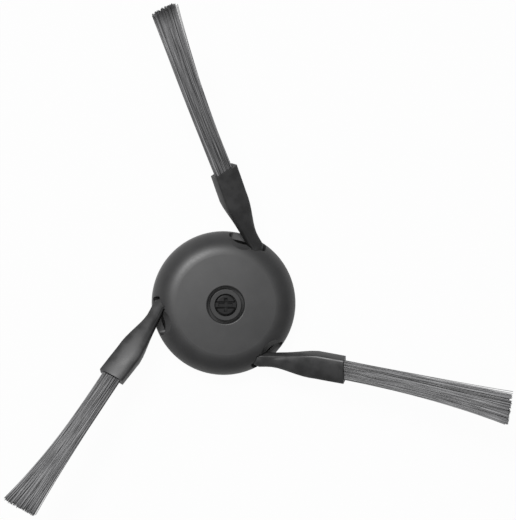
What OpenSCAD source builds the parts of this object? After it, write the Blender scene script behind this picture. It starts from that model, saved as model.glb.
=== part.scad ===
// Side brush of a robot vacuum: a domed hub with three swept rubber arms,
// each holding a flat tuft of bristles. Origin on the hub's axis at its back
// face, +Z towards the dome and the screw head. The first arm's root is on +X.

/* [Hub cover] */
// Radius of the hub
hub_r = 20; // [18:0.5:24]
// Height of the dome's top above the back face
hub_h = 12; // [11.5:0.25:15]
// Radius of the shallow crown of the dome
crown_r = 180; // [120:10:400]
// Radius of the shoulder between crown and rim
shoulder_r = 6.6; // [5.6:0.1:7]
// Wall of the cover
cover_wall = 1.8; // [1.5:0.1:2]
// Height of the cover's lower edge above the back face
skirt_z = 0.3; // [0.2:0.1:0.8]
// Rounding of the cover's lower edge
skirt_round = 0.6; // [0.3:0.1:1]
// Radius of the hole in the middle of the cover
centre_hole_r = 5.15; // [5:0.05:5.8]
// Rounding of that hole's edge
hole_lip = 0.35; // [0.2:0.05:0.5]
// Width of the seat ring round the hole, under the cover
seat_ring_w = 2; // [1.5:0.25:3]
// Depth of the seat ring under the top of the dome
seat_depth = 2.4; // [2.2:0.1:2.8]

/* [Windows for the arms] */
// Width of the window that an arm passes through
window_w = 10.8; // [9:0.2:12]
// Turn of the window's middle from the arm's root
window_turn = 7.4; // [4:0.2:10]
// Depth of the window's sill under the top of the dome
sill_drop = 6; // [5.8:0.1:6.4]
// Height of the window
window_h = 3.05; // [2.6:0.05:3.4]
// Corner radius of the window
window_round = 1.2; // [0.6:0.1:1.25]
// Radius of the ball that scoops the shoulder beside the arm
scoop_r = 8; // [6:0.5:12]
// Depth of the scoop
scoop_depth = 0.9; // [0.5:0.1:1]
// Turn of the scoop from the arm's root
scoop_turn = 12.5; // [10:0.5:16]
// Lean of the scoop's centre line from the hub's axis
scoop_lean = 44; // [36:1:50]
// Free space round the arm in the cover
arm_clearance = 0.3; // [0.2:0.05:0.5]

/* [Hub base] */
// Thickness of the back plate
plate_t = 2.4; // [2:0.1:3]
// Gap between the back plate and the cover
plate_gap = 0.1; // [0.05:0.05:0.2]
// Radius of the collar in the cover's hole
collar_r = 4.4; // [4.1:0.05:4.8]
// Depth of the collar's face under the top of the dome
collar_drop = 0.35; // [0.1:0.05:0.8]
// Rounding of the collar's edge
collar_round = 0.2; // [0.1:0.05:0.3]
// Width of the square drive socket
socket_w = 6.5; // [6:0.1:7]
// Depth of the drive socket
socket_depth = 5.2; // [4.8:0.1:5.4]
// Inner radius of the back's round trough
trough_r1 = 8.5; // [8:0.25:9.5]
// Outer radius of the trough
trough_r2 = 15.2; // [13:0.2:16]
// Depth of the trough
trough_depth = 1.1; // [0.6:0.1:1.3]
// Thickness of the ribs
rib_t = 1.2; // [1:0.1:1.6]
// Step from a pad down to the rib that carries it
rib_step = 0.6; // [0.4:0.1:1]

/* [Arm posts] */
// Distance of the posts inside the rim of the hub
post_inset = 6.8; // [6.6:0.1:7.4]
// Turn of a post from its arm's root
post_turn = -15; // [-17:0.5:-12]
// Radius of a post
post_r = 1.25; // [1:0.05:1.4]
// Depth of the pad under an arm's eye, from the top of the dome
pad_drop = 7.6; // [7.4:0.1:8]
// Length of a post in its boss in the cover
post_in_boss = 1; // [0.6:0.1:1.2]
// Free space between a post and what sits on it
post_clearance = 0.05; // [0.03:0.01:0.1]
// Wall of the eye round the post
eye_wall = 1.3; // [1.1:0.1:1.5]
// Height of the eye
eye_h = 4.2; // [4:0.1:4.4]

/* [Arm] */
// Distance of the arm's root inside the rim of the hub
root_inset = 1.5; // [1:0.1:2]
// Depth of the middle of the root under the top of the dome
root_drop = 3.7; // [3.5:0.05:3.9]
// Width of the root
root_w = 3.4; // [3:0.1:3.8]
// Thickness of the root
root_t = 2.8; // [2.5:0.1:3]
// Direction of the neck from the first arm's radius
neck_heading = 53.5; // [48:0.5:58]
// Length of the neck from root to kink, in plan
neck_len = 15; // [13:0.5:18]
// Sideways bow of the neck
neck_bow = 3.6; // [2:0.1:5]
// Rise of the neck at the root
root_rise = 24; // [20:0.5:27]
// Twist of the root
root_twist = 16; // [12:0.5:18]
// Width of the sleeve that holds the tuft
sleeve_w = 6.8; // [6.4:0.1:8]
// Thickness of the sleeve
sleeve_t = 3.8; // [3.6:0.1:4.6]
// Length of the sleeve in plan
sleeve_len = 7.6; // [7.2:0.2:10]
// Turn of the sleeve at the kink
sleeve_turn = -5.9; // [-9:0.1:0]
// Rise of the sleeve and the tuft
sleeve_rise = 15.5; // [12:0.5:20]
// Twist of the sleeve
sleeve_twist = 19; // [14:0.5:22]
// Slant of the sleeve's end
end_slant = 7.5; // [0:0.5:10]
// Crown of the arm's upper face
arm_crown = 0.35; // [0:0.05:0.5]
// Rounding of the arm's long edges
arm_round = 0.45; // [0.3:0.05:0.6]

/* [Bristle tuft] */
// Width of the tuft where it leaves the sleeve
tuft_w = 5.2; // [4.6:0.1:5.4]
// Thickness of the tuft
tuft_t = 2.2; // [1.8:0.1:2.4]
// Depth of the pocket in the sleeve
pocket_depth = 5.6; // [5:0.1:6]
// Free space round the tuft's fused butt
tuft_clearance = 0.05; // [0.02:0.01:0.1]
// Depth of the fused butt behind the sleeve's mouth
butt_recess = 1; // [0.6:0.1:1.4]
// Edge of the butt outside the bristles
butt_edge = 0.05; // [0.03:0.01:0.1]
// Depth of the bristles in the butt
bristle_hold = 0.8; // [0.5:0.1:1.5]
// Free length of the bristles
bristle_len = 48; // [40:1:56]
// Diameter of a bristle
bristle_d = 0.3; // [0.26:0.01:0.32]
// Bristles across the tuft
bristle_cols = 15; // [9:1:15]
// Rows of bristles
bristle_rows = 5; // [3:1:5]
// Fan of the tuft from edge to edge
fan_w = 3.8; // [2:0.1:6]
// Fan of the tuft from row to row
fan_t = 2.2; // [1:0.1:4]
// Lead of the tuft over the sleeve's direction
tuft_lead = 2.4; // [0:0.1:4]
// Radius that the bristles are bent to
bend_r = 575; // [400:25:900]
// Unevenness of the cut ends
cut_spread = 1.4; // [0:0.1:2]

/* [Mounting screw] */
// Radius of the screw's thread
thread_r = 1.5; // [1.4:0.05:1.5]
// Radius of the head
head_r = 2.85; // [2.7:0.05:2.9]
// Height of the head
head_h = 2; // [1.8:0.1:2.2]
// Rounding of the head's edge
head_round = 0.45; // [0.2:0.05:0.6]
// Depth of the head's face under the collar's face
head_drop = 0.3; // [0.1:0.05:0.5]
// Length of the thread at the screw's tip
thread_len = 3.5; // [3:0.1:3.7]
// Radius of the plain shank above the thread
shank_r = 1.15; // [1:0.05:1.2]
// Free space round the head
head_clearance = 0.3; // [0.2:0.05:0.4]
// Free space round the thread in the web
thread_clearance = 0.15; // [0.1:0.05:0.2]
// Chamfer of the screw's tip
tip_chamfer = 0.4; // [0.2:0.1:0.5]
// Height of the screw's tip above the back face
screw_tip = 1.35; // [0.8:0.05:1.4]
// Width of the wide slot across the head
slot_w = 2; // [1.6:0.1:2.2]
// Depth of the wide slot
slot_depth = 0.6; // [0.4:0.1:0.8]
// Length of the cross recess
cross_len = 3.9; // [3.4:0.1:4.2]
// Width of the cross recess
cross_w = 0.95; // [0.8:0.05:1.1]
// Depth of the cross recess
cross_depth = 1.3; // [1:0.1:1.5]
// Direction of the slot
slot_heading = -63; // [-90:1:90]

/* [Retaining washer] */
// Radius of the washer that keeps the screw in the hub
washer_r = 2.6; // [2.4:0.05:2.7]
// Thickness of the washer
washer_t = 0.6; // [0.5:0.1:0.8]
// Free space between the washer and the shank
washer_clearance = 0.05; // [0.02:0.01:0.1]
// Travel of the screw out of the hub
screw_travel = 2; // [1.5:0.1:2.1]
// Free space round the washer in its chamber
chamber_clearance = 0.3; // [0.2:0.05:0.4]
// Free space at each end of the washer's travel
end_play = 0.1; // [0.05:0.05:0.2]

/* [Hidden] */
$fn = 96;
arm_count = 3;
arm_step = 360 / arm_count;
eps = 0.05;
seat_gap = 0.02;
// How far a cut runs past the surface that it opens
over = 1;

// Centre of the shoulder's circle in the cover's section
shoulder_x = hub_r - shoulder_r;
crown_z = hub_h - crown_r;
shoulder_z = crown_z + sqrt(pow(crown_r - shoulder_r, 2) - pow(shoulder_x, 2));

// Heights in the middle of the hub
seat_z = hub_h - seat_depth;
collar_z = hub_h - collar_drop;
head_top = collar_z - head_drop;
head_seat = head_top - head_h;
recess_floor = head_seat - seat_gap;
screw_len = head_seat - screw_tip;
boss_r = centre_hole_r + seat_ring_w;
recess_r = head_r + head_clearance;
chamber_r = washer_r + chamber_clearance;
washer_z = socket_depth + end_play;
chamber_top = washer_z + washer_t + screw_travel + end_play;

// Places of the posts and their bosses
post_ring_r = hub_r - post_inset;
pad_top = hub_h - pad_drop;
post_x = post_ring_r * cos(post_turn);
post_y = post_ring_r * sin(post_turn);
pad_r = post_r + eye_wall;
eye_z = pad_top + seat_gap;
boss_bottom = eye_z + eye_h + seat_gap;
post_top = boss_bottom + post_in_boss;

// The arm's centre line in plan and height, by distance from the root
eye_centre = [post_x, post_y, eye_z + eye_h / 2];
root_centre = [hub_r - root_inset, 0, hub_h - root_drop];
stem_len = norm(root_centre - eye_centre);
neck_dir = [cos(neck_heading), sin(neck_heading), 0];
neck_side = [-sin(neck_heading), cos(neck_heading), 0];
sleeve_heading = neck_heading + sleeve_turn;
sleeve_dir = [cos(sleeve_heading), sin(sleeve_heading), tan(sleeve_rise)];
arm_end = neck_len + sleeve_len;

function neck_height(u) = neck_len * (tan(root_rise) * u
    + (tan(sleeve_rise) - tan(root_rise)) * u * u / 2);
function neck_point(u) = root_centre + neck_dir * neck_len * u
    + neck_side * neck_bow * u * pow(1 - u, 3) + [0, 0, neck_height(u)];
function stem_point(s) = root_centre + (root_centre - eye_centre) * s / stem_len;
function arm_point(s) =
    s < 0 ? stem_point(s)
    : s < neck_len ? neck_point(s / neck_len)
    : neck_point(1) + sleeve_dir * (s - neck_len);

// Direction of the centre line, taken across a short step
path_step = 0.4;
function unit(v) = v / norm(v);
function arm_dir(s) = unit(arm_point(s + path_step) - arm_point(s - path_step));

// Width, thickness and twist along the arm
function clamp01(u) = min(1, max(0, u));
function smooth(u) = let (c = clamp01(u)) c * c * (3 - 2 * c);
widen_start = 0.2;
function arm_share(s) = clamp01(s / neck_len);
function arm_width(s) = root_w
    + (sleeve_w - root_w) * smooth((arm_share(s) - widen_start) / (1 - widen_start));
function arm_thick(s) = root_t + (sleeve_t - root_t) * arm_share(s);
function arm_twist(s) = root_twist + (sleeve_twist - root_twist) * arm_share(s);

// Section of the arm: a rounded rectangle with a crowned upper side
corner_steps = 3;
crown_steps = 5;
function corner(x, z, r, from) = [for (i = [0:corner_steps])
    let (a = from + 90 * i / corner_steps) [x + r * cos(a), z + r * sin(a)]];
function crown_points(x, z, r) = [for (i = [1:crown_steps])
    let (q = 1 - 2 * i / (crown_steps + 1)) [(x + r) * q, z + r + arm_crown * (1 - q * q)]];
function arm_section(w, t) =
    let (x = w / 2 - arm_round, z = t / 2 - arm_round)
    concat(corner(x, z, arm_round, 0), crown_points(x, z, arm_round),
        corner(-x, z, arm_round, 90), corner(-x, -z, arm_round, 180),
        corner(x, -z, arm_round, 270));
ring_size = 4 * (corner_steps + 1) + crown_steps;

// One ring of the arm in space; side points to the leading edge
function arm_ring(s, slant) =
    let (u = arm_dir(s), flat_side = unit(cross([0, 0, 1], u)), up = cross(u, flat_side),
        tw = arm_twist(s), side = flat_side * cos(tw) + up * sin(tw),
        top = up * cos(tw) - flat_side * sin(tw), run = side - u * tan(slant))
    [for (p = arm_section(arm_width(s), arm_thick(s)))
        arm_point(s) + run * p[0] + top * p[1]];

stem_rings = 3;
neck_rings = 9;
sleeve_rings = 2;
ring_places = concat(
    [for (i = [0:stem_rings - 1]) -stem_len * (1 - i / stem_rings)],
    [for (i = [0:neck_rings]) neck_len * i / neck_rings],
    [for (i = [1:sleeve_rings]) neck_len + sleeve_len * i / sleeve_rings]);
function slant_at(s) = end_slant * clamp01((s - neck_len) / sleeve_len);
arm_rings = [for (s = ring_places) arm_ring(s, slant_at(s))];

// Skin over a list of rings, closed at both ends
module skin(rings) {
    n = len(rings[0]);
    last = len(rings) - 1;
    sides = [for (k = [0:last - 1], i = [0:n - 1]) let (j = (i + 1) % n)
        each [[k * n + i, (k + 1) * n + i, k * n + j],
            [(k + 1) * n + i, (k + 1) * n + j, k * n + j]]];
    first_cap = [for (i = [0:n - 1]) i];
    last_cap = [for (i = [n - 1:-1:0]) last * n + i];
    polyhedron([for (r = rings) each r], concat(sides, [first_cap, last_cap]));
}

// Turns its children to one arm's place round the hub
module at_arm(k) {
    rotate([0, 0, (k - 1) * arm_step]) children();
}

// Puts its children at the mouth of the sleeve: +X out, +Y to the leading edge
module at_sleeve_end() {
    translate(arm_point(arm_end)) rotate([0, 0, sleeve_heading])
        rotate([0, -sleeve_rise, 0]) rotate([sleeve_twist, 0, 0]) children();
}

// Half section of the dome, moved in by a wall
module dome_section(inset) {
    crown = crown_r - inset;
    join_x = shoulder_x * crown / (crown_r - shoulder_r);
    intersection() {
        translate([0, crown_z]) circle(r = crown);
        square([join_x, hub_h]);
    }
    translate([shoulder_x, shoulder_z]) circle(r = shoulder_r - inset);
    square([hub_r - inset, shoulder_z]);
}

// Takes a round edge off an outer corner of a section
module edge_cut(x, z, r, sx, sz) {
    translate([x, z]) mirror([sx < 0 ? 1 : 0, 0]) mirror([0, sz < 0 ? 1 : 0])
        difference() {
            translate([-eps, -eps]) square(r + eps);
            translate([r, r]) circle(r = r);
        }
}

module cover_section() {
    lip_z = crown_z + sqrt(crown_r * crown_r - pow(centre_hole_r + hole_lip, 2));
    difference() {
        dome_section(0);
        difference() {
            dome_section(cover_wall);
            translate([0, seat_z]) square([boss_r, hub_h]);
        }
        square([centre_hole_r, hub_h + over]);
        translate([0, skirt_z - hub_h]) square([hub_r + over, hub_h]);
        edge_cut(centre_hole_r, lip_z, hole_lip, 1, -1);
        edge_cut(hub_r, skirt_z, skirt_round, -1, 1);
    }
}

// Opening in the wall that an arm and its bend pass through
module window() {
    mid_z = hub_h - sill_drop + window_h / 2;
    dx = window_h / 2 - window_round;
    dy = window_w / 2 - window_round;
    rotate([0, 0, window_turn]) translate([shoulder_x, 0, mid_z]) rotate([0, 90, 0])
        linear_extrude(hub_r) {
            square([window_h, 2 * dy], center = true);
            square([2 * dx, window_w], center = true);
            for (x = [-dx, dx], y = [-dy, dy]) translate([x, y]) circle(r = window_round);
        }
}

// Close-fitting cut round a straight stretch of the arm
module arm_cut(s, back, ahead) {
    u = arm_dir(s);
    gap = arm_clearance;
    translate(arm_point(s)) rotate([0, 0, atan2(u[1], u[0])])
        rotate([0, -asin(u[2]), 0]) rotate([arm_twist(s), 0, 0])
            translate([-back, -root_w / 2 - gap, -root_t / 2 - gap])
                cube([back + ahead, root_w + 2 * gap, root_t + arm_crown + 2 * gap]);
}

// How far the cut at the root reaches back into the hub and out past the wall
cut_back = 3;
cut_ahead = 6.6;

// Shallow scoop in the shoulder beside the leading edge of the arm
module scoop() {
    dist = shoulder_r + scoop_r - scoop_depth;
    rotate([0, 0, scoop_turn])
        translate([shoulder_x + dist * sin(scoop_lean), 0, shoulder_z + dist * cos(scoop_lean)])
            sphere(r = scoop_r);
}

module hub_cover() {
    color([0.23, 0.23, 0.24]) difference() {
        union() {
            rotate_extrude() cover_section();
            intersection() {
                rotate_extrude() dome_section(cover_wall / 2);
                for (k = [1:arm_count]) at_arm(k)
                    translate([post_x, post_y, boss_bottom]) cylinder(r = pad_r, h = hub_h);
            }
        }
        for (k = [1:arm_count]) at_arm(k) {
            window();
            arm_cut(-stem_len / 2, stem_len / 2, stem_len / 2);
            arm_cut(path_step, cut_back, cut_ahead);
            scoop();
            translate([post_x, post_y, boss_bottom - eps])
                cylinder(r = post_r + post_clearance, h = post_in_boss + seat_gap + eps);
        }
    }
}

module base_section() {
    plate_r = hub_r - cover_wall - plate_gap;
    difference() {
        union() {
            square([plate_r, plate_t]);
            square([boss_r, seat_z]);
            square([collar_r, collar_z]);
        }
        edge_cut(collar_r, collar_z, collar_round, -1, -1);
        translate([trough_r1, -eps]) square([trough_r2 - trough_r1, trough_depth + eps]);
        translate([0, recess_floor]) square([recess_r, hub_h]);
        square([thread_r + thread_clearance, hub_h]);
        square([chamber_r, chamber_top]);
    }
}

module hub_base() {
    rib_z = plate_t - eps;
    sink = 0.5;
    color([0.13, 0.13, 0.14]) {
        difference() {
            union() {
                rotate_extrude() base_section();
                for (k = [1:arm_count]) at_arm(k) {
                    translate([post_x, post_y, rib_z]) {
                        cylinder(r = pad_r, h = pad_top - rib_z);
                        cylinder(r = post_r, h = post_top - rib_z);
                    }
                    rotate([0, 0, post_turn]) translate([boss_r - sink, -rib_t / 2, rib_z])
                        cube([post_ring_r - pad_r - boss_r + 2 * sink, rib_t,
                            pad_top - rib_z - rib_step]);
                    for (half = [0, 1]) rotate([0, 0, post_turn + half * arm_step / 2])
                        translate([trough_r1 - sink, -rib_t / 2, 0])
                            cube([trough_r2 - trough_r1 + 2 * sink, rib_t, trough_depth + sink]);
                }
            }
            translate([-socket_w / 2, -socket_w / 2, -eps])
                cube([socket_w, socket_w, socket_depth + eps]);
        }
    }
}

module arm(k) {
    color([0.27, 0.27, 0.28]) at_arm(k) difference() {
        union() {
            skin(arm_rings);
            translate([post_x, post_y, eye_z]) cylinder(r = pad_r, h = eye_h);
        }
        translate([post_x, post_y, eye_z - over])
            cylinder(r = post_r + post_clearance, h = eye_h + 2 * over);
        at_sleeve_end() translate([-pocket_depth, -tuft_w / 2, -tuft_t / 2])
            cube([pocket_depth + over, tuft_w, tuft_t]);
    }
}

// A number from 0 to 1 that looks random but is the same every time
function scatter(i, j) = let (v = sin(i * 127.1 + j * 311.7) * 43.7) v - floor(v);

// One bristle, bent towards the trailing side, starting at the origin along +X
module bristle(length) {
    turn = length / bend_r * 180 / PI;
    translate([0, -bend_r, 0]) rotate([0, 0, 90 - turn])
        rotate_extrude(angle = turn) translate([bend_r, 0]) circle(d = bristle_d, $fn = 16);
}

module bristle_tuft(k) {
    butt_w = tuft_w - 2 * tuft_clearance;
    butt_t = tuft_t - 2 * tuft_clearance;
    col_span = butt_w - bristle_d - 2 * butt_edge;
    row_span = butt_t - bristle_d - 2 * butt_edge;
    inner_len = butt_recess + bristle_hold;
    color([0.36, 0.36, 0.37]) at_arm(k) at_sleeve_end() {
        translate([-pocket_depth, -butt_w / 2, -butt_t / 2])
            cube([pocket_depth - butt_recess, butt_w, butt_t]);
        for (j = [0:bristle_rows - 1], i = [0:bristle_cols - 1 - j % 2]) {
            across = (i + (j % 2) / 2) / (bristle_cols - 1) - 0.5;
            deep = j / (bristle_rows - 1) - 0.5;
            length = bristle_len + inner_len + cut_spread * (scatter(i, j) - 0.5);
            translate([-inner_len, col_span * across, row_span * deep])
                rotate([0, 0, tuft_lead + fan_w * across]) rotate([0, -fan_t * deep, 0])
                    bristle(length);
        }
    }
}

module mounting_screw() {
    color([0.16, 0.16, 0.17]) difference() {
        union() {
            rotate_extrude() difference() {
                translate([0, head_seat]) square([head_r, head_h]);
                edge_cut(head_r, head_top, head_round, -1, -1);
            }
            translate([0, 0, screw_tip]) {
                cylinder(r = shank_r, h = screw_len + eps);
                cylinder(r1 = thread_r - tip_chamfer, r2 = thread_r, h = tip_chamfer);
                translate([0, 0, tip_chamfer]) cylinder(r = thread_r, h = thread_len - tip_chamfer);
            }
        }
        rotate([0, 0, slot_heading]) {
            translate([-head_r - over, -slot_w / 2, head_top - slot_depth])
                cube([2 * (head_r + over), slot_w, slot_depth + over]);
            for (a = [0, 90]) rotate([0, 0, a])
                translate([-cross_len / 2, -cross_w / 2, head_top - cross_depth])
                    cube([cross_len, cross_w, cross_depth + over]);
        }
    }
}

module retaining_washer() {
    color([0.8, 0.8, 0.78]) translate([0, 0, washer_z]) difference() {
        cylinder(r = washer_r, h = washer_t);
        translate([0, 0, -over])
            cylinder(r = shank_r + washer_clearance, h = washer_t + 2 * over);
    }
}

hub_cover();
hub_base();
arm(1);  // arm_1
arm(2);  // arm_2
arm(3);  // arm_3
bristle_tuft(1);  // bristle_tuft_1
bristle_tuft(2);  // bristle_tuft_2
bristle_tuft(3);  // bristle_tuft_3
mounting_screw();
retaining_washer();
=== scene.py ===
# Side brush of a robot vacuum: its looks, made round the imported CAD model.
# Everything is in metres, in the CAD frame: hub axis on Z, back face at zero.
import math
import random

import bmesh
import bpy
from mathutils import Matrix, Vector


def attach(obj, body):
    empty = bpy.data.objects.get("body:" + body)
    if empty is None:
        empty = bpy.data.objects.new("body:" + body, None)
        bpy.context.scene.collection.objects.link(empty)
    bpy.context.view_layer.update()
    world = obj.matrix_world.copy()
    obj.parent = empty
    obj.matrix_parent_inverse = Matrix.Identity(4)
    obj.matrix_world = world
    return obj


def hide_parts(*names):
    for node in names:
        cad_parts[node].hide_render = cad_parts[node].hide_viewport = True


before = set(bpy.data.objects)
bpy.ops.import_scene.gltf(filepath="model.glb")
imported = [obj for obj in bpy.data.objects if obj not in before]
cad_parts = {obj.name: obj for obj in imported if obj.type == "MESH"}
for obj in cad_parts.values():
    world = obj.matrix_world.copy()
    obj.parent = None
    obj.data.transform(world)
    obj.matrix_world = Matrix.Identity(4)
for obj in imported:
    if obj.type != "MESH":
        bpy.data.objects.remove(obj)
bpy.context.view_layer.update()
mm = 0.001
tiny = 1e-6

# The camera comes first. Its axes are worked out from the way the brush lies in the photo:
# the first arm's root points at armAngle there, and the view leans a little off the hub's axis.
view = {
    "armAngle": 62.9,
    "leanRight": -0.073,
    "leanUp": 0.066,
    "distance": 605 * mm,
    "lens": 149.1,
    "shift": (0.0679, 0.0812),
    "clip": (0.05, 50),
}


def viewAxes():
    turn = Matrix.Rotation(math.radians(-view["armAngle"]), 3, "Z")
    toward = Vector((view["leanRight"], view["leanUp"], 1)).normalized()
    right = (Vector((1, 0, 0)) - toward * toward.x).normalized()
    up = toward.cross(right)
    return turn @ right, turn @ up, turn @ toward


viewRight, viewUp, viewToward = viewAxes()


def fromView(right, up, toward):
    return viewRight * right + viewUp * up + viewToward * toward


def axesMatrix(xAxis, yAxis, zAxis, place):
    matrix = Matrix((xAxis, yAxis, zAxis)).transposed().to_4x4()
    matrix.translation = place
    return matrix


def addObject(name, data):
    made = bpy.data.objects.new(name, data)
    bpy.context.scene.collection.objects.link(made)
    return made


def makeCamera():
    camera = addObject("camera", bpy.data.cameras.new("camera"))
    camera.data.lens = view["lens"]
    camera.data.shift_x, camera.data.shift_y = view["shift"]
    camera.data.clip_start, camera.data.clip_end = view["clip"]
    camera.matrix_world = axesMatrix(viewRight, viewUp, viewToward, viewToward * view["distance"])
    bpy.context.scene.camera = camera


makeCamera()
print("camera: at", [round(x, 3) for x in bpy.context.scene.camera.location])


# A socket with arithmetic: an expression on wires adds its Math nodes
class Wire:
    def __init__(self, recipe, socket):
        self.recipe = recipe
        self.socket = socket

    def math(self, operation, first, second):
        return self.recipe.node("ShaderNodeMath", {"operation": operation}, {0: first, 1: second})

    def __add__(self, other):
        return self.math("ADD", self, other)

    def __radd__(self, other):
        return self.math("ADD", other, self)

    def __sub__(self, other):
        return self.math("SUBTRACT", self, other)

    def __rsub__(self, other):
        return self.math("SUBTRACT", other, self)

    def __mul__(self, other):
        return self.math("MULTIPLY", self, other)

    def __rmul__(self, other):
        return self.math("MULTIPLY", other, self)


# Levels between which most of a noise lies
noiseLow, noiseHigh = 0.3, 0.7


# One material or world and its nodes
class Recipe:
    def __init__(self, owner):
        self.owner = owner
        owner.use_nodes = True
        self.tree = owner.node_tree
        self.tree.nodes.clear()

    def node(self, kind, settings=None, values=None, output=0):
        made = self.tree.nodes.new(kind)
        for name, setting in (settings or {}).items():
            setattr(made, name, setting)
        for key, value in (values or {}).items():
            if isinstance(value, Wire):
                self.tree.links.new(value.socket, made.inputs[key])
            else:
                made.inputs[key].default_value = value
        return Wire(self, made.outputs[output]) if made.outputs else made

    # Noise in the piece's own coordinates; size is a feature in millimetres
    def noise(self, size, detail=2.0):
        place = self.node("ShaderNodeTexCoord", output="Object")
        values = {"Vector": place, "Scale": 1 / (size * mm), "Detail": detail}
        return self.node("ShaderNodeTexNoise", None, values)

    # Smooth step of a wire between two levels, out to two other levels
    def step(self, wire, low, high, outLow=0.0, outHigh=1.0):
        settings = {"interpolation_type": "SMOOTHSTEP"}
        return self.node("ShaderNodeMapRange", settings, {
            "Value": wire, "From Min": low, "From Max": high,
            "To Min": outLow, "To Max": outHigh,
        })

    def mixColour(self, share, first, second):
        values = {0: share, 6: (*first, 1), 7: (*second, 1)}
        return self.node("ShaderNodeMix", {"data_type": "RGBA"}, values, output=2)

    def bump(self, height, depth, strength=1.0):
        return self.node("ShaderNodeBump", None, {
            "Height": height, "Distance": depth * mm, "Strength": strength,
        })

    def surface(self, shader):
        self.node("ShaderNodeOutputMaterial", None, {"Surface": shader})
        return self.owner


def grey(level, blue=1.02):
    return level, level, level * blue


# Moulded plastic: spark-eroded grain, faint flow marks, a satin skin
def mouldedPlastic(name, look):
    recipe = Recipe(bpy.data.materials.new(name))
    grain = recipe.noise(look["grain"], 3)
    cloud = recipe.noise(look["cloud"], 2)
    share = look["cloudShare"]
    shade = recipe.step(cloud * share + grain * (1 - share), noiseLow, noiseHigh)
    return recipe.surface(recipe.node("ShaderNodeBsdfPrincipled", None, {
        "Base Color": recipe.mixColour(shade, grey(look["dark"]), grey(look["light"])),
        "Roughness": recipe.step(grain, noiseLow, noiseHigh, look["smooth"], look["rough"]),
        "Specular IOR Level": look["specular"],
        "Normal": recipe.bump(grain, look["grainDepth"]),
    }))


def paint(node, material):
    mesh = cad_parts[node].data
    mesh.materials.clear()
    mesh.materials.append(material)


hubLook = {
    "grain": 0.22, "cloud": 5, "cloudShare": 0.6, "dark": 0.027, "light": 0.035,
    "smooth": 0.41, "rough": 0.5, "specular": 0.5, "grainDepth": 0.012,
}
baseLook = {
    "grain": 0.22, "cloud": 5, "cloudShare": 0.6, "dark": 0.017, "light": 0.023,
    "smooth": 0.42, "rough": 0.52, "specular": 0.4, "grainDepth": 0.012,
}
washerLook = {
    "grain": 0.3, "cloud": 2, "cloudShare": 0.6, "dark": 0.55, "light": 0.62,
    "smooth": 0.35, "rough": 0.45, "specular": 0.5, "grainDepth": 0.004,
}
paint("hub_cover", mouldedPlastic("hubPlastic", hubLook))
paint("hub_base", mouldedPlastic("basePlastic", baseLook))
paint("retaining_washer", mouldedPlastic("washerNylon", washerLook))
print("materials: hub, base and washer")

# Rubber of the arms: matt, with a soft bloom and a fine pebble
armLook = {
    "pebble": 0.16, "cloud": 3.5, "bloomLow": 0.35, "bloomHigh": 0.65, "dark": 0.026, "light": 0.036,
    "smooth": 0.34, "rough": 0.46, "specular": 0.5, "pebbleDepth": 0.008,
    "edgeAngle": 32, "leading": 0.28, "trailing": 0.08, "bulgeStart": 18.6, "bulgeRise": 2,
}


def armRubber():
    recipe = Recipe(bpy.data.materials.new("armRubber"))
    pebble = recipe.noise(armLook["pebble"], 2)
    cloud = recipe.noise(armLook["cloud"], 3)
    bloom = recipe.step(cloud, armLook["bloomLow"], armLook["bloomHigh"])
    return recipe.surface(recipe.node("ShaderNodeBsdfPrincipled", None, {
        "Base Color": recipe.mixColour(bloom, grey(armLook["dark"]), grey(armLook["light"])),
        "Roughness": recipe.step(cloud, noiseLow, noiseHigh, armLook["smooth"], armLook["rough"]),
        "Specular IOR Level": armLook["specular"],
        "Normal": recipe.bump(pebble, armLook["pebbleDepth"]),
    }))


# A copy of a node's mesh with its doubled points joined, shaded smooth up to an angle
def joinedCopy(node, angle):
    shape = bmesh.new()
    shape.from_mesh(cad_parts[node].data)
    bmesh.ops.remove_doubles(shape, verts=shape.verts, dist=tiny)
    for face in shape.faces:
        face.smooth = True
    for edge in shape.edges:
        edge.smooth = edge.is_manifold and edge.calc_face_angle(0) < math.radians(angle)
    return shape


def finishedMesh(shape, name, material):
    mesh = bpy.data.meshes.new(name)
    shape.to_mesh(mesh)
    shape.free()
    if mesh.has_custom_normals:
        mesh.attributes.remove(mesh.attributes["custom_normal"])
    mesh.materials.clear()
    mesh.materials.append(material)
    return mesh


# Soft rubber bulges past its nominal side walls outside the hub, most on the leading side
def bulge(shape):
    shape.normal_update()
    for vertex in shape.verts:
        out = vertex.co.xy.length
        side = Vector((-vertex.co.y, vertex.co.x, 0)) / out
        lean = vertex.normal.dot(side)
        push = armLook["leading"] if lean > 0 else armLook["trailing"]
        share = min(max((out / mm - armLook["bulgeStart"]) / armLook["bulgeRise"], 0), 1)
        vertex.co += side * (lean * push * share * mm)


def makeArm(number, material):
    node = f"arm_{number}"
    shape = joinedCopy(node, armLook["edgeAngle"])
    bulge(shape)
    arm = addObject(f"rubberArm{number}", finishedMesh(shape, f"rubberArm{number}", material))
    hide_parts(node)
    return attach(arm, "hub")


rubber = armRubber()
for number in (1, 2, 3):
    makeArm(number, rubber)
print("arms: three, smoothed")

# A tuft: several hundred nylon filaments set in the sleeve's pocket; the fused butt that holds them is not
# drawn
tuft = {
    "count": 330, "diameter": 0.17, "sides": 5, "steps": 12,
    "pocket": 5.6, "recess": 1.0, "hold": 0.5,
    "width": 5.1, "thickness": 2.0, "tipThickness": 2.6, "cutSpread": 0.9,
    "crossing": 0.1, "bendRadius": 575, "wander": 0.18,
    "rippleAcross": 4, "rippleDeep": 3, "seed": 40,
    "strays": 8, "strayAngle": 1.6, "strayFrom": 0.35, "strayLeast": 0.3, "stripShare": 0.9,
    # Painted light: the last value on the next line makes each filament's colour paler toward its tip
    "dark": 0.045, "light": 0.32, "shade": 0.22, "shadeSpread": 0.26, "mottle": 0.2, "paintedTipLight": 0.38,
    "mottleTurn": 2.4, "smooth": 0.34, "rough": 0.48, "specular": 0.5,
}
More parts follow.
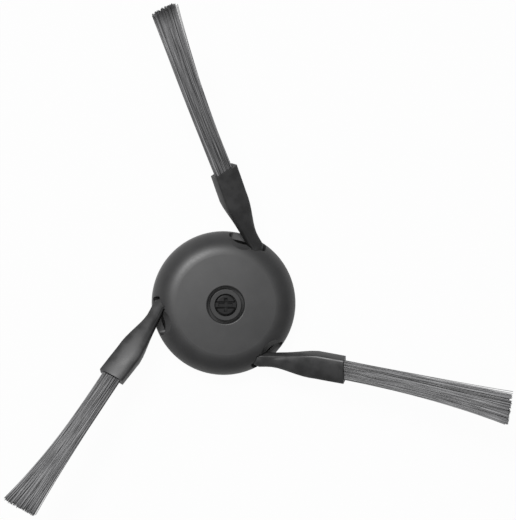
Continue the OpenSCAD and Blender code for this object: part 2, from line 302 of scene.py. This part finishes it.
# How each arm's tuft has set: the length outside the sleeve, a shift to the leading side, the
# width at the tip and the slant of the cut end in millimetres, the lead in degrees, and the
# edge with the strays
tuftSet = (
    {"free": 47.7, "shift": 0.15, "lead": 4.0, "tipWidth": 6.2, "slant": -0.3, "strayEdge": -1},
    {"free": 43.6, "shift": 0.0, "lead": 5.3, "tipWidth": 8.8, "slant": -1.0, "strayEdge": 1},
    {"free": 46.2, "shift": 0.2, "lead": -0.8, "tipWidth": 7.9, "slant": -0.3, "strayEdge": 1},
)


def nylon():
    recipe = Recipe(bpy.data.materials.new("bristleNylon"))
    # The shade attribute read here mixes random tone with painted light: paler tips, and glints and dark
    # gaps in its spread
    shade = recipe.node("ShaderNodeAttribute", {"attribute_name": "shade"}, output="Fac")
    return recipe.surface(recipe.node("ShaderNodeBsdfPrincipled", None, {
        "Base Color": recipe.mixColour(shade, grey(tuft["dark"]), grey(tuft["light"])),
        "Roughness": recipe.step(shade, 0, 1, tuft["smooth"], tuft["rough"]),
        "Specular IOR Level": tuft["specular"],
    }))


# Where the pocket's floor is, and the sleeve's own axes, from the butt's corners in the CAD tuft
def tuftSeat(number):
    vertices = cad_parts[f"bristle_tuft_{number}"].data.vertices
    points = {tuple(round(x, 7) for x in vertex.co) for vertex in vertices}
    corners = sorted((Vector(p) for p in points), key=lambda p: p.xy.length)[:4]
    first = corners[0]
    near, middle = sorted(corners[1:], key=lambda p: (p - first).length)[:2]
    deep, across = (near - first).normalized(), (middle - first).normalized()
    up = deep if deep.z > 0 else -deep
    out = across.cross(up)
    centre = sum(corners, Vector()) / 4
    if out.dot(centre) < 0:
        out = -out
    return centre, out, up.cross(out), up


# A filament leaves at its heading and rise, bends with the tuft, and flares out near its tip
def layFilament(start, length, heading, rise, flare, wander):
    steps = tuft["steps"]
    curve = length / tuft["bendRadius"]
    points = [Vector(start)]
    for step in range(steps):
        along = (step + 0.5) / steps
        turn = heading - curve * along + flare[0] * along ** 2
        turn += wander[0] * math.sin(along * tuft["rippleAcross"] + wander[2])
        climb = rise + flare[1] * along ** 2
        climb += wander[1] * math.sin(along * tuft["rippleDeep"] + wander[2])
        step3 = Vector((math.cos(turn) * math.cos(climb), math.sin(turn) * math.cos(climb), math.sin(climb)))
        points.append(points[-1] + step3 * (length / steps))
    return points


def addTube(mesh, points, radius, shade, strip):
    sides = tuft["sides"]
    base = len(mesh["points"])
    for step, point in enumerate(points):
        ahead = points[min(step + 1, len(points) - 1)] - points[max(step - 1, 0)]
        side = ahead.cross(Vector((0, 0, 1))).normalized()
        over = side.cross(ahead).normalized()
        mottle = tuft["mottle"] * math.sin(step * tuft["mottleTurn"] + base)
        # Painted light: each filament is painted paler toward its tip, in place of the ground's white seen
        # through the thinning tuft
        paintedTipLight = tuft["paintedTipLight"] * step / tuft["steps"]
        for k in range(sides):
            angle = 2 * math.pi * k / sides
            mesh["points"].append(point + (side * math.cos(angle) + over * math.sin(angle)) * radius)
            mesh["shade"].append(shade + (mottle + paintedTipLight))
    for step in range(len(points) - 1):
        for k in range(sides):
            after = (k + 1) % sides
            low, high = base + step * sides, base + (step + 1) * sides
            mesh["faces"].append((low + k, high + k, high + after, low + after))
            left, right = (strip[0] + strip[1] * j / sides for j in (k, k + 1))
            bottom, top = step / tuft["steps"], (step + 1) / tuft["steps"]
            mesh["map"] += [(left, bottom), (left, top), (right, top), (right, bottom)]
    last = base + (len(points) - 1) * sides
    mesh["faces"].append(tuple(last + k for k in range(sides)))
    mesh["map"] += [(strip[0] + strip[1] * k / sides, 1) for k in range(sides)]


def makeTuft(number, material):
    own = tuftSet[number - 1]
    rng = random.Random(tuft["seed"] + number)
    degree = math.pi / 180
    mesh = {"points": [], "faces": [], "shade": [], "map": []}
    inner = tuft["recess"] + tuft["hold"]
    total = tuft["count"] + tuft["strays"]
    for index in range(total):
        stray = index >= tuft["count"]
        if stray:
            across = own["strayEdge"] * rng.uniform(tuft["strayFrom"], 0.5)
        else:
            across = rng.uniform(-0.5, 0.5)
        deep = rng.uniform(-0.5, 0.5)
        tipAcross = min(max(across + rng.gauss(0, tuft["crossing"]), -0.5), 0.5)
        tipDeep = min(max(deep + rng.gauss(0, tuft["crossing"]), -0.5), 0.5)
        length = inner + own["free"] + own["slant"] * across
        length += tuft["cutSpread"] * rng.uniform(-0.5, 0.5)
        heading = own["lead"] * degree + (tipAcross - across) * tuft["width"] / length
        rise = (tipDeep - deep) * tuft["thickness"] / length
        if stray:
            away = rng.uniform(tuft["strayLeast"], 1) * tuft["strayAngle"]
            heading += own["strayEdge"] * away * degree
        flare = (3 * tipAcross * (own["tipWidth"] - tuft["width"]) / length,
                 3 * tipDeep * (tuft["tipThickness"] - tuft["thickness"]) / length)
        wander = (rng.gauss(0, tuft["wander"]) * degree, rng.gauss(0, tuft["wander"]) * degree,
                  rng.uniform(0, 2 * math.pi))
        start = (tuft["pocket"] - inner, across * tuft["width"] + own["shift"], deep * tuft["thickness"])
        points = layFilament(start, length, heading, rise, flare, wander)
        # A random tone for each filament; its wide spread also paints glints on some filaments and shade on
        # others, as painted highlight and painted shade
        shade = min(max(rng.gauss(tuft["shade"], tuft["shadeSpread"]), 0), 1)
        strip = (index / total, tuft["stripShare"] / total)
        addTube(mesh, points, tuft["diameter"] / 2, shade, strip)
    name = f"bristles{number}"
    made = bpy.data.meshes.new(name)
    made.from_pydata(mesh["points"], [], mesh["faces"])
    made.attributes.new("shade", "FLOAT", "POINT").data.foreach_set("value", mesh["shade"])
    layer = made.uv_layers.new(name="OFBake")
    layer.data.foreach_set("uv", [x for pair in mesh["map"] for x in pair])
    made.polygons.foreach_set("use_smooth", [True] * len(made.polygons))
    made.materials.append(material)
    centre, out, side, up = tuftSeat(number)
    made.transform(axesMatrix(out, side, up, centre) @ Matrix.Scale(mm, 4))
    bristles = addObject(name, made)
    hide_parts(f"bristle_tuft_{number}")
    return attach(bristles, "hub")


bristleNylon = nylon()
for number in (1, 2, 3):
    bristles = makeTuft(number, bristleNylon)
    print("bristles:", bristles.name, len(bristles.data.polygons), "faces")

# Black screw: the CAD screw with a groove along each edge of its slot, and a thread at its tip
screwLook = {
    "smooth": 0.36, "rough": 0.5, "dark": 0.01, "light": 0.018, "grain": 0.1, "specular": 0.14,
    "edgeAngle": 30, "slotHeading": -63, "slotWidth": 2.0, "groove": 0.36, "grooveDepth": 1.7,
    "headAcross": 7, "pitch": 0.7, "threadEnd": 4.8, "threadFade": 0.3, "threadDepth": 0.16,
    "grainShare": 0.03,
}


def blackSteel():
    recipe = Recipe(bpy.data.materials.new("blackSteel"))
    grain = recipe.noise(screwLook["grain"], 3)
    place = recipe.node("ShaderNodeTexCoord", output="Object")
    x, y, z = (recipe.node("ShaderNodeSeparateXYZ", None, {0: place}, output=k) for k in range(3))
    angle = recipe.node("ShaderNodeMath", {"operation": "ARCTAN2"}, {0: y, 1: x})
    ridge = recipe.node("ShaderNodeMath", {"operation": "SINE"}, {
        0: z * (2 * math.pi / (screwLook["pitch"] * mm)) - angle,
    })
    end = screwLook["threadEnd"] * mm
    threaded = recipe.step(z, end, end - screwLook["threadFade"] * mm)
    height = ridge * threaded + grain * screwLook["grainShare"]
    return recipe.surface(recipe.node("ShaderNodeBsdfPrincipled", None, {
        "Base Color": recipe.mixColour(grain, grey(screwLook["dark"]), grey(screwLook["light"])),
        "Roughness": recipe.step(
            grain, noiseLow, noiseHigh, screwLook["smooth"], screwLook["rough"]),
        "Specular IOR Level": screwLook["specular"],
        "Normal": recipe.bump(height, screwLook["threadDepth"]),
    }))


# Two bars that cut the grooves, as one object
def grooveBars(top):
    bars = bmesh.new()
    turn = Matrix.Rotation(math.radians(screwLook["slotHeading"]), 4, "Z")
    size = (screwLook["headAcross"], screwLook["groove"], 2 * screwLook["grooveDepth"])
    for side in (-1, 1):
        offset = side * (screwLook["slotWidth"] - screwLook["groove"]) / 2
        place = Matrix.Translation((0, offset * mm, top))
        scale = Matrix.Diagonal((*(x * mm for x in size), 1))
        bmesh.ops.create_cube(bars, matrix=turn @ place @ scale)
    mesh = bpy.data.meshes.new("grooveBars")
    bars.to_mesh(mesh)
    bars.free()
    return addObject("grooveBars", mesh)


def makeScrew(material):
    shape = joinedCopy("mounting_screw", screwLook["edgeAngle"])
    top = max(vertex.co.z for vertex in shape.verts)
    screw = addObject("slottedScrew", finishedMesh(shape, "slottedScrew", material))
    bars = grooveBars(top)
    cut = screw.modifiers.new("grooves", "BOOLEAN")
    cut.object = bars
    cut.operation = "DIFFERENCE"
    cut.solver = "EXACT"
    whole = screw.evaluated_get(bpy.context.evaluated_depsgraph_get())
    screw.data = bpy.data.meshes.new_from_object(whole)
    screw.modifiers.clear()
    bpy.data.objects.remove(bars)
    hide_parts("mounting_screw")
    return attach(screw, "screw")


screw = makeScrew(blackSteel())
print("screw: grooves cut,", len(screw.data.polygons), "faces")

# The studio: a pale floor and two soft lamps, placed by the photo's own right, up and toward
studio = {
    "floorSize": 12, "floorGrey": 0.4, "floorGap": 0.02,
    "floorWhite": 0.97, "floorGloss": 0.5,
    "ambient": 0.1,
    "lamps": {
        "key": {"place": (-0.25, 0.44, 1.14), "size": (0.5, 0.28), "power": 16.5},
        "overhead": {"place": (0.05, -0.05, 1.2), "size": (0.7, 0.7), "power": 3.0},
    },
}


def makeFloor():
    half = studio["floorSize"] / 2
    mesh = bpy.data.meshes.new("floor")
    spots = ((-half, -half), (half, -half), (half, half), (-half, half))
    mesh.from_pydata([(x, y, -studio["floorGap"] * mm) for x, y in spots], [], [(0, 1, 2, 3)])
    recipe = Recipe(bpy.data.materials.new("paleFloor"))
    path = recipe.node("ShaderNodeLightPath", output="Is Camera Ray")
    gloss = recipe.node("ShaderNodeLightPath", output="Is Glossy Ray")
    through = recipe.node("ShaderNodeLightPath", output="Is Transmission Ray")
    matt = recipe.node("ShaderNodeBsdfDiffuse", None, {"Color": (*grey(studio["floorGrey"], 1), 1)})
    white = recipe.node("ShaderNodeEmission", None, {"Color": (1, 1, 1, 1), "Strength": 1.0})
    recipe.surface(recipe.node("ShaderNodeMixShader", None, {
        0: (path + through) * studio["floorWhite"] + gloss * studio["floorGloss"], 1: matt, 2: white,
    }))
    recipe.owner.cycles.emission_sampling = "NONE"
    mesh.materials.append(recipe.owner)
    addObject("floor", mesh)


def makeLamp(name, lamp):
    light = bpy.data.lights.new(name, "AREA")
    light.shape = "RECTANGLE"
    light.size, light.size_y = lamp["size"]
    light.energy = lamp["power"]
    made = addObject(name, light)
    place = fromView(*lamp["place"])
    along = viewToward.cross(place).normalized()
    made.matrix_world = axesMatrix(along, place.cross(along).normalized(), place.normalized(), place)
    made.visible_camera = False


def makeWorld():
    world = bpy.data.worlds.new("studio")
    recipe = Recipe(world)
    seen = recipe.node("ShaderNodeLightPath", output="Is Camera Ray")
    strength = studio["ambient"] + seen * (1 - studio["ambient"])
    air = recipe.node("ShaderNodeBackground", None, {"Color": (1, 1, 1, 1), "Strength": strength})
    recipe.node("ShaderNodeOutputWorld", None, {"Surface": air})
    bpy.context.scene.world = world


makeFloor()
for name, lamp in studio["lamps"].items():
    makeLamp(name, lamp)
makeWorld()
bpy.context.scene.view_settings.view_transform = "Standard"
print("studio: floor, lamps and world")
